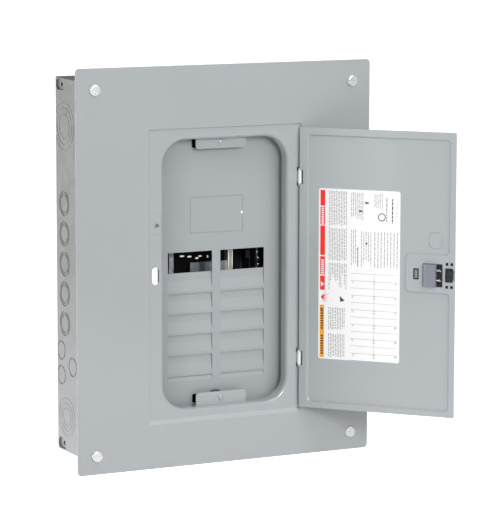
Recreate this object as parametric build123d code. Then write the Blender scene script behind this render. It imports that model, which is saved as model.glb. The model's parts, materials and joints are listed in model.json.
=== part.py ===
from build123d import *

import os

# Residential load center: a sheet-steel box set into a wall, a flush cover with a hinged door,
# a deadfront over the breakers, and the bus, neutral and ground bars inside.
# Millimetres. +X is right as seen from the room, +Z is up and the front faces -Y.
# The origin is the centre of the box's back face. "Depth" below is measured from the front face
# of the cover into the wall, so a depth d lies at y = d - TOTAL_DEPTH.

# Box
TOTAL_DEPTH = 96.75
BOX_WIDTH = 361.95
BOX_HEIGHT = 455.2
BOX_SHEET = 1.5
BOX_LIP = 9.0
EAR_SIZE = 24.0
BACK_DEPTH = TOTAL_DEPTH - BOX_SHEET

# Cover trim
TRIM_WIDTH = 393.0
TRIM_HEIGHT = 486.0
TRIM_SHEET = 1.5
TRIM_CORNER = 5.0
COVER_SCREW_X = 171.8
COVER_SCREW_HEIGHTS = (217.4, -220.8)
COVER_SCREW_HEAD = 7.0

# Door recess and opening of the trim
RECESS_DEPTH = 2.0
RECESS_LEFT = -102.1
RECESS_RIGHT = 102.3
RECESS_TOP = 167.8
RECESS_BOTTOM = -189.2
RECESS_BEVEL = 1.1
RECESS_BOTTOM_BEVEL = 5.2
OPENING_WIDTH = 165.8
OPENING_TOP = 153.6
OPENING_BOTTOM = -172.7
OPENING_CORNER = 30.0
OPENING_HEIGHT = OPENING_TOP - OPENING_BOTTOM
OPENING_X = 0.4
OPENING_Z = (OPENING_TOP + OPENING_BOTTOM) / 2
LIP_RADIUS = 4.5
FLANGE_DEPTH = 15.5
TAB_WIDTH = 67.4
TAB_CORNER = 4.0
TAB_EDGES = (140.5, -157.9)
TAB_SCREWS = (147.5, -164.9)
TAB_CLEARANCES = ((141.0, 152.6), (-171.6, -161.0))

# Deadfront
DEADFRONT_SHEET = 1.2
DEADFRONT_FLANGE_DEPTH = 19.0
DEADFRONT_FACE_DEPTH = 26.0
DEADFRONT_WALL_GAP = 8.0
DEADFRONT_FLANGE = 10.0
DEADFRONT_CORNER = 38.0
DEADFRONT_FILLET = 6.5
SPACE_PITCH = 25.4
WINDOW_TOP = 14.5
WINDOW_HEIGHT = 25.4
COLUMN_CENTRES = (-36.0, 34.6)
WINDOW_WIDTH = 59.4
TWISTOUT_ROWS = 5
TWISTOUT_STEP = 2.0
TWISTOUT_FLAT = 9.5
TWISTOUT_SLOPE = 12.5
LAST_ROW_SLOPE = 5.0

# Door, measured from the hinge axis
HINGE_X = 100.0
HINGE_DEPTH = -0.35
OPEN_ANGLE = 131.7
DOOR_SHEET = 1.2
DOOR_INNER_DEPTH = 1.9
DOOR_EDGE_GAP = 0.5
DOOR_WIDTH = 200.0
DOOR_TOP = 163.3
DOOR_BOTTOM = -182.7
DOOR_Z = (DOOR_TOP + DOOR_BOTTOM) / 2
PANEL_RISE = 2.5
PANEL_SLOPE = 2.0
PANEL_LEFT = 10.2
PANEL_RIGHT = 193.6
PANEL_TOP = 154.8
PANEL_BOTTOM = -175.8
PANEL_CORNER = 5.0
NOTCH_START = 138.6
NOTCH_TOP = 14.4
NOTCH_BOTTOM = -30.6
HINGE_OFFSET = 112.0
PIN_RADIUS = 1.2
KNUCKLE_RADIUS = 2.25
KNUCKLE_BORE = 1.25
KNUCKLE_HALF = 11.0
FIXED_KNUCKLE_HALF = 8.4

# Strike slot and latch, the latch measured from the hinge axis
STRIKE_X = -92.7
STRIKE_Z = -8.4
STRIKE_WIDTH = 9.6
STRIKE_HEIGHT = 21.2
LATCH_Z = -9.6
LATCH_HALF = 14.0
LATCH_FROM = 159.3
LATCH_TO = 184.5
CUP_TO = 177.0
CUP_WALL = 1.6
CUP_ROUND = 5.2
SLIDER_HALF = 9.6
SPRING_SEAT = 183.2
SPRING_HEIGHTS = (-3.6, -15.6)
SPRING_DEPTH = 1.5
SPRING_RADIUS = 1.9
SPRING_WIRE = 0.6
HOOK_FROM = 187.7
HOOK_TO = 197.5
HOOK_TOP = -0.3
HOOK_BOTTOM = -17.3
HOOK_DEPTH = 5.8
LUG_CENTRES = (190.0, 196.0)
LUG_HEIGHTS = (4.7, -23.1)
LUG_HOLE_HALF = 1.7
WINDOW_FROM = 147.4
WINDOW_TO = 154.5
GLAZING_TOP = -2.1
GLAZING_BOTTOM = -15.7
LOCK_CENTRE = (174.8, 32.1)
LOCK_WIDTH = 17.2
LOCK_HEIGHT = 20.4
LOCK_CORNER = 7.0

# Interior
INTERIOR_X = -5.0
PAN_DEPTH = 84.0
BASE_DEPTH = 70.0
BUS_DEPTH = 60.0
BUS_A_X = -45.2
BUS_B_X = 34.8
BUS_WIDTH = 6.0
STAB_ROWS = 6
STAB_TOP = -4.6
STAB_HEIGHT = 12.0
STAB_REACH = 13.5
NEUTRAL_OFFSET = 77.5
NEUTRAL_BAR_DEPTH = 58.0
BAR_SCREW_PITCH = 7.9
BAR_HALF_WIDTH = 4.8
BAR_THICKNESS = 10.0
WIRE_RADIUS = 2.1
NEUTRAL_SCREWS = 18
RAIL_OFFSET = 68.5
GROUND_BAR_X = 140.0
GROUND_SCREWS = 12
MAIN_LUG_BOTTOM = 84.0
MAIN_LUG_HEIGHT = 26.0
MAIN_LUG_WIDTH = 22.0
MAIN_LUG_BORE = 7.0
MAIN_LUG_DEPTH = 50.0
NEUTRAL_LUG_BOTTOM = 30.0
NEUTRAL_LUG_HEIGHT = 24.0
NEUTRAL_LUG_WIDTH = 20.0
NEUTRAL_LUG_BORE = 6.5
NEUTRAL_LUG_DEPTH = 49.0


def place(sketch, depth_from, depth_to, x=0.0, z=0.0):
    """The solid of an x-z sketch between two depths."""
    back = Plane(origin=(x, depth_to - TOTAL_DEPTH, z), x_dir=(1, 0, 0), z_dir=(0, -1, 0))
    return extrude(back * sketch, depth_to - depth_from)


def block(x_from, x_to, depth_from, depth_to, z_from, z_to, corner=0.0):
    """A block by its limits, with optional round corners in the x-z plane."""
    width, height = x_to - x_from, z_to - z_from
    sketch = RectangleRounded(width, height, corner) if corner else Rectangle(width, height)
    return place(sketch, depth_from, depth_to, (x_from + x_to) / 2, (z_from + z_to) / 2)


def drill(x, z, radius, depth_from, depth_to):
    """A round bar along the depth, to add or to cut."""
    return place(Circle(radius), depth_from, depth_to, x, z)


def vertical_bar(x, depth, radius, z_from, z_to):
    """A round bar standing upright."""
    return Pos(x, depth - TOTAL_DEPTH, (z_from + z_to) / 2) * Cylinder(radius, z_to - z_from)


def taper(front, back, depth_from, depth_to):
    """A solid between two rectangles (x from, x to, z from, z to) at two depths."""
    faces = []
    for (x_from, x_to, z_from, z_to), depth in ((front, depth_from), (back, depth_to)):
        middle = ((x_from + x_to) / 2, depth - TOTAL_DEPTH, (z_from + z_to) / 2)
        plane = Plane(origin=middle, x_dir=(1, 0, 0), z_dir=(0, -1, 0))
        faces.append(plane * Rectangle(x_to - x_from, z_to - z_from))
    return loft(faces)


def edges_at(shape, depth, width, height, x=0.0, z=0.0):
    """The edges at one depth that lie inside a rectangle about a centre."""
    chosen = []
    for edge in shape.edges():
        box = edge.bounding_box()
        flat = abs(box.min.Y - depth + TOTAL_DEPTH) < 1e-3 and abs(box.max.Y - depth + TOTAL_DEPTH) < 1e-3
        inside_x = max(x - box.min.X, box.max.X - x) < width / 2 + 0.01
        inside_z = max(z - box.min.Z, box.max.Z - z) < height / 2 + 0.01
        if flat and inside_x and inside_z:
            chosen.append(edge)
    return chosen


def screw(x, z, head_depth, head_radius, head_height, shank_radius, tip_depth):
    """A slotted pan-head screw along the depth; the head's flat underside is at head_depth."""
    head = drill(x, z, head_radius, head_depth - head_height, head_depth)
    head = fillet(edges_of_face(head, head_depth - head_height), head_height * 0.6)
    slot = block(
        x - head_radius, x + head_radius,
        head_depth - head_height - 1, head_depth - head_height * 0.5,
        z - head_radius * 0.13, z + head_radius * 0.13,
    )
    return head - slot + drill(x, z, shank_radius, head_depth, tip_depth)


def edges_of_face(shape, depth):
    """All edges of a shape at one depth."""
    y = depth - TOTAL_DEPTH
    return shape.edges().filter_by_position(Axis.Y, y - 1e-3, y + 1e-3)


def group(shapes):
    """Separate solids kept together in one node."""
    return Compound(children=list(shapes))


# ---------------------------------------------------------------- enclosure

def knockout_ring(radius, concentric):
    """The ring to cut from a sheet's face for one knockout; concentric sets are scored less deeply."""
    groove = GROOVE_WIDTH
    depth = CONCENTRIC_GROOVE_DEPTH if concentric else GROOVE_DEPTH
    return Cylinder(radius + groove / 2, 2 * depth) - Cylinder(radius - groove / 2, 2 * depth)


GROOVE_WIDTH = 1.5
GROOVE_DEPTH = 0.9
CONCENTRIC_GROOVE_DEPTH = 0.25
SIDE_KNOCKOUTS = (
    # depth, height, radii of the rings
    (70.5, 170.0, (28.6, 22.2, 15.0)),
    (72.8, 76.0, (14.3, 11.1)),
    (72.8, 39.5, (14.3, 11.1)),
    (72.8, 3.0, (14.3, 11.1)),
    (72.8, -33.5, (14.3, 11.1)),
    (72.8, -70.0, (14.3, 11.1)),
    (84.5, -104.0, (11.1,)),
    (84.5, -134.5, (11.1,)),
    (50.0, -120.0, (11.1,)),
    (68.0, -183.6, (23.4, 17.0, 11.1)),
)
END_KNOCKOUTS = (
    (-118.0, 60.0, (28.6, 22.2, 15.0)),
    (-62.0, 66.0, (14.3, 11.1)),
    (-25.0, 66.0, (14.3, 11.1)),
    (12.0, 66.0, (14.3, 11.1)),
    (49.0, 66.0, (14.3, 11.1)),
    (104.0, 60.0, (24.0, 17.0, 11.1)),
)
DIMPLE_HEIGHTS = (218.75, -218.75)
DIMPLE_FROM_BACK = 14.0
DIMPLE_LENGTH = 24.0
DIMPLE_HEIGHT = 13.0
DIMPLE_DEPTH = 2.4
COVER_SCREWS = tuple((x * COVER_SCREW_X, z) for x in (-1, 1) for z in COVER_SCREW_HEIGHTS)
MOUNTING_X = 127.0
MOUNTING_Z = 165.1
MOUNTING_RADIUS = 3.6
PAN_SCREWS = tuple((INTERIOR_X + x, z) for x in (-84.0, 84.0) for z in (-150.0, 118.0))
BOND_SCREW = (INTERIOR_X - NEUTRAL_OFFSET, -140.0)


def side_grooves(sign):
    """Knockout grooves of one side wall; sign is -1 for the left wall."""
    rings = []
    for depth, height, radii in SIDE_KNOCKOUTS:
        spot = Pos(sign * BOX_WIDTH / 2, depth - TOTAL_DEPTH, height) * Rot(0, 90, 0)
        rings += [spot * knockout_ring(radius, len(radii) > 2) for radius in radii]
    return rings


def end_grooves(sign):
    """Knockout grooves of the top (sign 1) or bottom (sign -1) wall."""
    rings = []
    for x, depth, radii in END_KNOCKOUTS:
        spot = Pos(x, depth - TOTAL_DEPTH, sign * BOX_HEIGHT / 2)
        rings += [spot * knockout_ring(radius, len(radii) > 2) for radius in radii]
    return rings


def make_enclosure():
    half_x, half_z = BOX_WIDTH / 2, BOX_HEIGHT / 2
    box = block(-half_x, half_x, TRIM_SHEET, TOTAL_DEPTH, -half_z, half_z, 1.8)
    inner_x, inner_z = half_x - BOX_SHEET, half_z - BOX_SHEET
    box -= block(-inner_x, inner_x, TRIM_SHEET + BOX_SHEET, BACK_DEPTH, -inner_z, inner_z)
    mouth_x, mouth_z = half_x - BOX_LIP, half_z - BOX_LIP
    box -= block(-mouth_x, mouth_x, TRIM_SHEET - 1, TRIM_SHEET + BOX_SHEET + 1, -mouth_z, mouth_z)
    for x_sign in (-1, 1):
        for z_sign in (-1, 1):
            x_low, x_high = sorted((x_sign * (inner_x + 0.5), x_sign * (half_x - EAR_SIZE)))
            z_low, z_high = sorted((z_sign * (inner_z + 0.5), z_sign * (half_z - EAR_SIZE)))
            box += block(x_low, x_high, TRIM_SHEET, TRIM_SHEET + BOX_SHEET, z_low, z_high, 2.0)
            box -= drill(x_sign * MOUNTING_X, z_sign * MOUNTING_Z, MOUNTING_RADIUS, 90, 100)
    for x, z in COVER_SCREWS:
        box -= drill(x, z, 2.4, 0, 10)
    for x_sign in (-1, 1):
        for height in DIMPLE_HEIGHTS:
            spot = Pos(x_sign * half_x, -DIMPLE_FROM_BACK, height) * Rot(0, 90, 0)
            outside = Box(DIMPLE_HEIGHT + 2.4, DIMPLE_LENGTH + 2.4, DIMPLE_DEPTH + BOX_SHEET)
            box += Pos(-x_sign * (DIMPLE_DEPTH + BOX_SHEET) / 2, 0, 0) * spot * outside
            hollow = RectangleRounded(DIMPLE_HEIGHT, DIMPLE_LENGTH, 6.0)
            box -= spot * extrude(hollow, DIMPLE_DEPTH, both=True)
            box -= spot * Cylinder(2.6, 12)
    for x, z in PAN_SCREWS + (BOND_SCREW,):
        box -= drill(x, z, 2.0, 90, 100)
    grooves = side_grooves(-1) + side_grooves(1) + end_grooves(1) + end_grooves(-1)
    for groove in grooves:
        box -= groove
    return box


# ---------------------------------------------------------------- cover trim

def make_trim():
    half_x, half_z = TRIM_WIDTH / 2, TRIM_HEIGHT / 2
    trim = block(-half_x, half_x, 0, TRIM_SHEET, -half_z, half_z, TRIM_CORNER)

    rim = (RECESS_LEFT, RECESS_RIGHT, RECESS_BOTTOM, RECESS_TOP)
    floor = (
        RECESS_LEFT + RECESS_BEVEL, RECESS_RIGHT - RECESS_BEVEL,
        RECESS_BOTTOM + RECESS_BOTTOM_BEVEL, RECESS_TOP - RECESS_BEVEL,
    )
    grow = (-TRIM_SHEET * 0.8, TRIM_SHEET * 0.8, -TRIM_SHEET * 0.8, TRIM_SHEET * 0.8)
    rim_back = tuple(value + more for value, more in zip(rim, grow))
    floor_back = tuple(value + more for value, more in zip(floor, grow))
    trim += taper(rim_back, floor_back, TRIM_SHEET, TRIM_SHEET + RECESS_DEPTH)
    trim -= taper(rim, floor, 0, RECESS_DEPTH)

    floor_depth = RECESS_DEPTH
    lip = LIP_RADIUS + 1.5
    ring = RectangleRounded(OPENING_WIDTH + 2 * lip, OPENING_HEIGHT + 2 * lip, OPENING_CORNER + lip)
    hole = RectangleRounded(OPENING_WIDTH, OPENING_HEIGHT, OPENING_CORNER)
    wall = RectangleRounded(
        OPENING_WIDTH + 2 * TRIM_SHEET, OPENING_HEIGHT + 2 * TRIM_SHEET, OPENING_CORNER + TRIM_SHEET
    )
    middle = (OPENING_X, OPENING_Z)
    trim += place(ring, floor_depth, FLANGE_DEPTH, *middle)
    trim -= place(hole, -5, FLANGE_DEPTH + 1, *middle)
    front_edges = edges_at(trim, floor_depth, OPENING_WIDTH, OPENING_HEIGHT, *middle)
    trim = fillet(front_edges, LIP_RADIUS)
    relief = place(ring, floor_depth + TRIM_SHEET, FLANGE_DEPTH + 1, *middle)
    relief -= place(wall, floor_depth, FLANGE_DEPTH + 2, *middle)
    inner_edges = edges_at(
        relief, floor_depth + TRIM_SHEET,
        OPENING_WIDTH + 2 * TRIM_SHEET, OPENING_HEIGHT + 2 * TRIM_SHEET, *middle,
    )
    trim -= fillet(inner_edges, LIP_RADIUS - TRIM_SHEET)

    tab_front = FLANGE_DEPTH - TRIM_SHEET
    for root, free, screw_z in zip((OPENING_TOP + 1, OPENING_BOTTOM - 1), TAB_EDGES, TAB_SCREWS):
        z_low, z_high = sorted((root, free))
        tab = block(-TAB_WIDTH / 2, TAB_WIDTH / 2, tab_front, FLANGE_DEPTH, z_low, z_high)
        free_edges = [
            edge for edge in tab.edges().filter_by(Axis.Y) if abs(edge.center().Z - free) < 0.01
        ]
        tab = fillet(free_edges, TAB_CORNER)
        trim += tab - drill(0, screw_z, 2.2, 0, 30)

    strike = SlotOverall(STRIKE_HEIGHT, STRIKE_WIDTH)
    trim -= place(Rot(0, 0, 90) * strike, 0, 10, STRIKE_X, STRIKE_Z)
    pad_x, pad_z = STRIKE_X + 1.5, 54.0
    trim -= block(pad_x - 5.8, pad_x + 5.8, 0, RECESS_DEPTH + 0.6, pad_z - 13, pad_z + 13, 1.5)
    trim -= drill(pad_x, pad_z - 1.8, 2.6, 0, 10)
    for sign in (-1, 1):
        middle = DOOR_Z + sign * HINGE_OFFSET
        low, high = middle - KNUCKLE_HALF - 0.6, middle + KNUCKLE_HALF + 0.6
        trim -= block(HINGE_X - 1.2, HINGE_X + 4.4, -5, 10, low, high)
        for z_low, z_high in ((low, low + 5.2), (high - 5.2, high)):
            trim -= block(HINGE_X - 2.8, HINGE_X, -5, 10, z_low, z_high)
    for x, z in COVER_SCREWS:
        trim -= drill(x, z, 2.8, -5, 10)
    return trim


def make_cover_screws():
    return group(screw(x, z, 0, COVER_SCREW_HEAD, 3.4, 2.4, 14) for x, z in COVER_SCREWS)


def make_strike_clip():
    """Bright spring clip spot-welded behind the strike slot; the latch hook bears on its edge."""
    front = RECESS_DEPTH + TRIM_SHEET
    low, high = STRIKE_Z - 12, STRIKE_Z + 12
    clip = block(-104.4, -88.6, HOOK_DEPTH + 0.5, HOOK_DEPTH + 1.3, low, high)
    clip += block(-105.4, -104.4, front, HOOK_DEPTH + 1.3, low, high)
    clip += block(-105.4, -100.0, front, front + 1.0, low, high)
    return clip


# ---------------------------------------------------------------- deadfront

def pocket_prism(profile, x_from, x_to):
    """A solid from a closed (depth, height) outline, between two x positions."""
    points = [(x_from, depth - TOTAL_DEPTH, height) for depth, height in profile]
    face = make_face(Polyline(*points, close=True))
    return extrude(face, amount=x_to - x_from, dir=(1, 0, 0))


def make_deadfront():
    gap, corner, sheet = DEADFRONT_WALL_GAP, DEADFRONT_CORNER, DEADFRONT_SHEET
    width, height = OPENING_WIDTH + 2 * gap, OPENING_HEIGHT + 2 * gap
    front, face = DEADFRONT_FLANGE_DEPTH, DEADFRONT_FACE_DEPTH
    middle = (OPENING_X, OPENING_Z)
    flange = RectangleRounded(width + 2 * DEADFRONT_FLANGE, height + 2 * DEADFRONT_FLANGE, 6)
    tray = RectangleRounded(width + 2 * sheet, height + 2 * sheet, corner + sheet)
    tray = place(tray, front, face + sheet, *middle)
    tray = fillet(edges_of_face(tray, face + sheet), DEADFRONT_FILLET + sheet)
    hollow = place(RectangleRounded(width, height, corner), front - 1, face, *middle)
    hollow = fillet(edges_of_face(hollow, face), DEADFRONT_FILLET)
    pan = place(flange, front, front + sheet, *middle) + tray - hollow

    step = TWISTOUT_STEP
    for middle in COLUMN_CENTRES:
        x_from, x_to = middle - WINDOW_WIDTH / 2, middle + WINDOW_WIDTH / 2
        for row in range(TWISTOUT_ROWS + 1):
            top = WINDOW_TOP - WINDOW_HEIGHT - row * SPACE_PITCH
            flat = TWISTOUT_FLAT if row < TWISTOUT_ROWS else 0.5
            slope = TWISTOUT_SLOPE if row < TWISTOUT_ROWS else LAST_ROW_SLOPE
            back = [
                (face + 0.2, top + sheet), (face + sheet + step, top + sheet),
                (face + sheet + step, top - flat), (face + sheet, top - flat - slope),
                (face + 0.2, top - flat - slope),
            ]
            pan += pocket_prism(back, x_from - sheet, x_to + sheet)
            cut = [
                (face - 0.5, top), (face + step, top), (face + step, top - flat),
                (face, top - flat - slope), (face - 0.5, top - flat - slope),
            ]
            pan -= pocket_prism(cut, x_from, x_to)
        bottom = WINDOW_TOP - WINDOW_HEIGHT
        pan -= block(x_from, x_to, face - 1, face + 4, bottom - 0.05, WINDOW_TOP)
    frame = block(-36.4, 35.6, face - 1, face + 0.4, 36.5, 80.8, 1.5)
    frame -= block(-35.4, 34.6, face - 2, face + 1, 37.5, 79.8, 0.8)
    pan -= frame
    pan += drill(34.9, 60.2, 0.9, face - 0.6, face + 0.5)
    for z in (TAB_SCREWS[0], TAB_SCREWS[1] + 1.5):
        pan -= block(-9.5, 4.5, face - 12, face + 4, z - 6, z + 6, 3.5)
    for z_low, z_high in TAB_CLEARANCES:
        pan -= block(-TAB_WIDTH / 2 + 0.4, -12, face - 12, face + 4, z_low, z_high, 1.5)
    return pan


def make_deadfront_screws():
    depth = FLANGE_DEPTH - TRIM_SHEET
    return group(screw(0, z, depth, 3.4, 1.9, 1.9, 36) for z in TAB_SCREWS)


def make_deadfront_nuts():
    """Flat nut plates that hold the deadfront on its two adjusting screws."""
    nuts = []
    back = DEADFRONT_FACE_DEPTH + DEADFRONT_SHEET
    for z, inward in zip(TAB_SCREWS, (-1, 1)):
        z_low, z_high = sorted((z - inward * 6, z + inward * 7))
        plate = block(-14, 14, back, back + 2.0, z_low, z_high, 2.0)
        nuts.append(plate - drill(0, z, 1.92, 20, 40))
    return group(nuts)


# ---------------------------------------------------------------- door

def door_x(distance):
    """Closed-door x position at a distance from the hinge axis."""
    return HINGE_X - distance


def door_block(s_from, s_to, depth_from, depth_to, z_from, z_to, corner=0.0):
    """A block on the closed door, by distances from the hinge axis."""
    return block(door_x(s_to), door_x(s_from), depth_from, depth_to, z_from, z_to, corner)


def opened(shape):
    """Turns a piece of the closed door to the open position in which the door is stored."""
    axis = Pos(HINGE_X, HINGE_DEPTH - TOTAL_DEPTH, 0)
    return axis * Rot(0, 0, OPEN_ANGLE) * axis.inverse() * shape


def panel_outline(shrink):
    """Outline of the raised door panel with its notch for the latch, made smaller by shrink."""
    width = PANEL_RIGHT - PANEL_LEFT - 2 * shrink
    height = PANEL_TOP - PANEL_BOTTOM - 2 * shrink
    middle = door_x((PANEL_RIGHT + PANEL_LEFT) / 2)
    outline = Pos(middle, (PANEL_TOP + PANEL_BOTTOM) / 2) * Rectangle(width, height)
    notch_left = door_x(NOTCH_START - shrink)
    notch_width = 90.0
    notch = Pos(notch_left - notch_width / 2, (NOTCH_TOP + NOTCH_BOTTOM) / 2) * Rectangle(
        notch_width, NOTCH_TOP - NOTCH_BOTTOM + 2 * shrink
    )
    outline -= notch
    return fillet(outline.vertices(), PANEL_CORNER)


def raised(depth_from, depth_to, shrink_from, shrink_to):
    """Sloped-wall solid of the raised panel between two depths."""
    faces = []
    for depth, shrink in ((depth_from, shrink_from), (depth_to, shrink_to)):
        plane = Plane(origin=(0, depth - TOTAL_DEPTH, 0), x_dir=(1, 0, 0), z_dir=(0, -1, 0))
        faces.append(plane * panel_outline(shrink))
    return loft(faces)


def make_door():
    inner, outer = DOOR_INNER_DEPTH, DOOR_INNER_DEPTH - DOOR_SHEET
    edge = DOOR_EDGE_GAP
    door = door_block(edge, edge + DOOR_WIDTH, outer, inner, DOOR_BOTTOM, DOOR_TOP, 1.2)
    door += raised(outer, outer - PANEL_RISE, -0.6, PANEL_SLOPE - 0.6)
    door -= raised(inner, inner - PANEL_RISE, 0, PANEL_SLOPE)

    for sign in (-1, 1):
        middle = DOOR_Z + sign * HINGE_OFFSET
        gap = FIXED_KNUCKLE_HALF + 0.25
        for z_from, z_to in ((-KNUCKLE_HALF, -gap), (gap, KNUCKLE_HALF)):
            z_low, z_high = middle + z_from, middle + z_to
            knuckle = vertical_bar(HINGE_X, HINGE_DEPTH, KNUCKLE_RADIUS, z_low, z_high)
            leaf = door_block(-0.02, edge + 0.5, outer, inner, z_low, z_high)
            door += knuckle + leaf
            door -= vertical_bar(HINGE_X, HINGE_DEPTH, KNUCKLE_BORE, z_low - 0.2, z_high + 0.2)
        door -= door_block(-3, 4.9, outer - 3, inner + 1, middle - gap, middle + gap)
        for outside in (-1, 1):
            z_mid = middle + outside * (KNUCKLE_HALF + 0.6)
            door -= door_block(-3, 1.6, outer - 1, inner + 1, z_mid - 0.6, z_mid + 0.6)

    door -= door_block(WINDOW_FROM, WINDOW_TO, -5, 5, GLAZING_BOTTOM, GLAZING_TOP, 0.6)
    door -= door_block(LATCH_FROM, LATCH_TO, -5, 5, LATCH_Z - LATCH_HALF, LATCH_Z + LATCH_HALF, 1.0)
    door -= door_block(HOOK_FROM, HOOK_TO, -5, 5, HOOK_BOTTOM, HOOK_TOP, 0.6)
    for s_mid in LUG_CENTRES:
        for z_mid in LUG_HEIGHTS:
            half = LUG_HOLE_HALF
            door -= door_block(s_mid - half, s_mid + half, -5, 5, z_mid - half, z_mid + half)
    panel_inner = inner - PANEL_RISE
    lock_x, lock_z = door_x(LOCK_CENTRE[0]), LOCK_CENTRE[1]
    outline = RectangleRounded(LOCK_WIDTH, LOCK_HEIGHT, LOCK_CORNER)
    outline -= RectangleRounded(LOCK_WIDTH - 1.8, LOCK_HEIGHT - 1.8, LOCK_CORNER - 0.9)
    groove = place(outline, panel_inner - 0.4, panel_inner + 1, lock_x, lock_z)
    return opened(door - groove)


def make_hinge_leaf(sign):
    """Fixed half of a hinge: a knuckle and a strap that goes back through the slot in the trim."""
    middle = DOOR_Z + sign * HINGE_OFFSET
    low, high = middle - FIXED_KNUCKLE_HALF, middle + FIXED_KNUCKLE_HALF
    right = HINGE_X + KNUCKLE_RADIUS
    leaf = vertical_bar(HINGE_X, HINGE_DEPTH, KNUCKLE_RADIUS, low, high)
    leaf += block(right - 1.0, right, HINGE_DEPTH, TRIM_SHEET + 3.0, low, high)
    leaf += block(right - 1.0, right + 14, TRIM_SHEET + 2.0, TRIM_SHEET + 3.0, low, high)
    leaf += block(right + 3.2, right + 14, TRIM_SHEET, TRIM_SHEET + 3.0, middle - 9, middle + 9)
    return leaf - vertical_bar(HINGE_X, HINGE_DEPTH, PIN_RADIUS, low - 1, high + 1)


def make_hinge_pin(sign):
    middle = DOOR_Z + sign * HINGE_OFFSET
    half = KNUCKLE_HALF + 0.4
    return vertical_bar(HINGE_X, HINGE_DEPTH, PIN_RADIUS, middle - half, middle + half)


def make_label():
    inner = DOOR_INNER_DEPTH - PANEL_RISE
    return opened(door_block(24.9, 129.7, inner, inner + 0.2, -120.9, 89.5, 3.0))


# ---------------------------------------------------------------- latch

DOOR_OUTER = DOOR_INNER_DEPTH - DOOR_SHEET
HOUSING_FRONT = DOOR_OUTER - PANEL_RISE + 0.1
CUP_BACK = 7.0
CLEARANCE = 0.4


def make_latch_housing():
    body = door_block(144, 199.2, HOUSING_FRONT, DOOR_OUTER, NOTCH_BOTTOM + 2, NOTCH_TOP - 2, 3.0)
    body += door_block(
        WINDOW_FROM + 1.7, WINDOW_TO - 1.7, DOOR_OUTER, DOOR_INNER_DEPTH - 0.2,
        GLAZING_BOTTOM + 1.8, GLAZING_TOP - 1.8,
    )
    half = LATCH_HALF - CLEARANCE
    cup_from = LATCH_FROM + 0.4
    cup = door_block(cup_from, CUP_TO, DOOR_OUTER, CUP_BACK, LATCH_Z - half, LATCH_Z + half)
    crown = [edge for edge in edges_of_face(cup, CUP_BACK) if edge.center().X > door_x(cup_from + 1)]
    body += fillet(crown, CUP_ROUND)
    half -= CUP_WALL
    body -= door_block(
        cup_from + CUP_ROUND, CUP_TO - 1.7, HOUSING_FRONT - 1, CUP_BACK - 1.5,
        LATCH_Z - half, LATCH_Z + half, 2.0,
    )
    half = SLIDER_HALF + CLEARANCE
    channel = (LATCH_Z - half, LATCH_Z + half)
    body -= door_block(165.5, HOOK_TO + 0.8, DOOR_OUTER - 1.5, DOOR_OUTER, *channel)
    body -= door_block(CUP_TO - 2.6, CUP_TO + 0.4, DOOR_OUTER - 1, DOOR_OUTER + 1.0, *channel)
    half = LUG_HOLE_HALF - 0.1
    for s_mid in LUG_CENTRES:
        for z_mid in LUG_HEIGHTS:
            body -= door_block(
                s_mid - half, s_mid + half, HOUSING_FRONT + 0.6, 2, z_mid - half, z_mid + half
            )
    return opened(body)


def make_latch_slider():
    plate_from, plate_to = DOOR_OUTER - 1.4, DOOR_OUTER - 0.1
    root = plate_to - 0.2
    low, high = LATCH_Z - SLIDER_HALF, LATCH_Z + SLIDER_HALF
    body = door_block(170, HOOK_TO - 1.4, plate_from, plate_to, low, high)
    body += door_block(170, 173.4, plate_from, CUP_BACK - 1.8, low, high)
    body += door_block(SPRING_SEAT, SPRING_SEAT + 1.2, root, DOOR_INNER_DEPTH + 0.7, low + 0.5, high - 0.5)
    half = SPRING_RADIUS + 0.2
    for height in SPRING_HEIGHTS:
        body -= door_block(176.6, SPRING_SEAT, plate_from - 1, plate_to + 1, height - half, height + half)
    hook_low, hook_high = HOOK_BOTTOM + 3, HOOK_TOP - 1.8
    body += door_block(192.0, 195.3, root, HOOK_DEPTH, hook_low, hook_high)
    nose = door_block(195.0, 198.8, HOOK_DEPTH - 2, HOOK_DEPTH, hook_low, hook_high)
    tip = [
        edge for edge in nose.edges().filter_by(Axis.Z)
        if edge.center().X < door_x(HOOK_TO) and edge.center().Y > HOOK_DEPTH - 0.3 - TOTAL_DEPTH
    ]
    return opened(body + chamfer(tip, 1.6))


def make_latch_springs():
    """Outer forms of the two compression springs that push the latch slider outwards."""
    start = CUP_TO + 0.05
    length = SPRING_SEAT - 0.05 - start
    spring = Cylinder(SPRING_RADIUS, length) - Cylinder(SPRING_RADIUS - SPRING_WIRE, length + 1)
    middle = door_x(start + length / 2)
    lying = Rot(0, 90, 0) * spring
    return group(
        opened(Pos(middle, SPRING_DEPTH - TOTAL_DEPTH, height) * lying) for height in SPRING_HEIGHTS
    )


# ---------------------------------------------------------------- interior

def make_interior_pan():
    half = 95.0
    pan = block(INTERIOR_X - half, INTERIOR_X + half, PAN_DEPTH, PAN_DEPTH + 1.5, -172, 138, 4)
    for x, z in PAN_SCREWS:
        pan += drill(x, z, 8.0, PAN_DEPTH, BACK_DEPTH)
        pan -= drill(x, z, 5.5, PAN_DEPTH + 1.5, BACK_DEPTH - 1.5)
        pan -= drill(x, z, 2.2, PAN_DEPTH - 1, BACK_DEPTH + 1)
    return pan - drill(*BOND_SCREW, 2.2, PAN_DEPTH - 1, PAN_DEPTH + 3)


def make_pan_screws():
    return group(screw(x, z, PAN_DEPTH, 4.0, 2.2, 2.0, TOTAL_DEPTH) for x, z in PAN_SCREWS)


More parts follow.
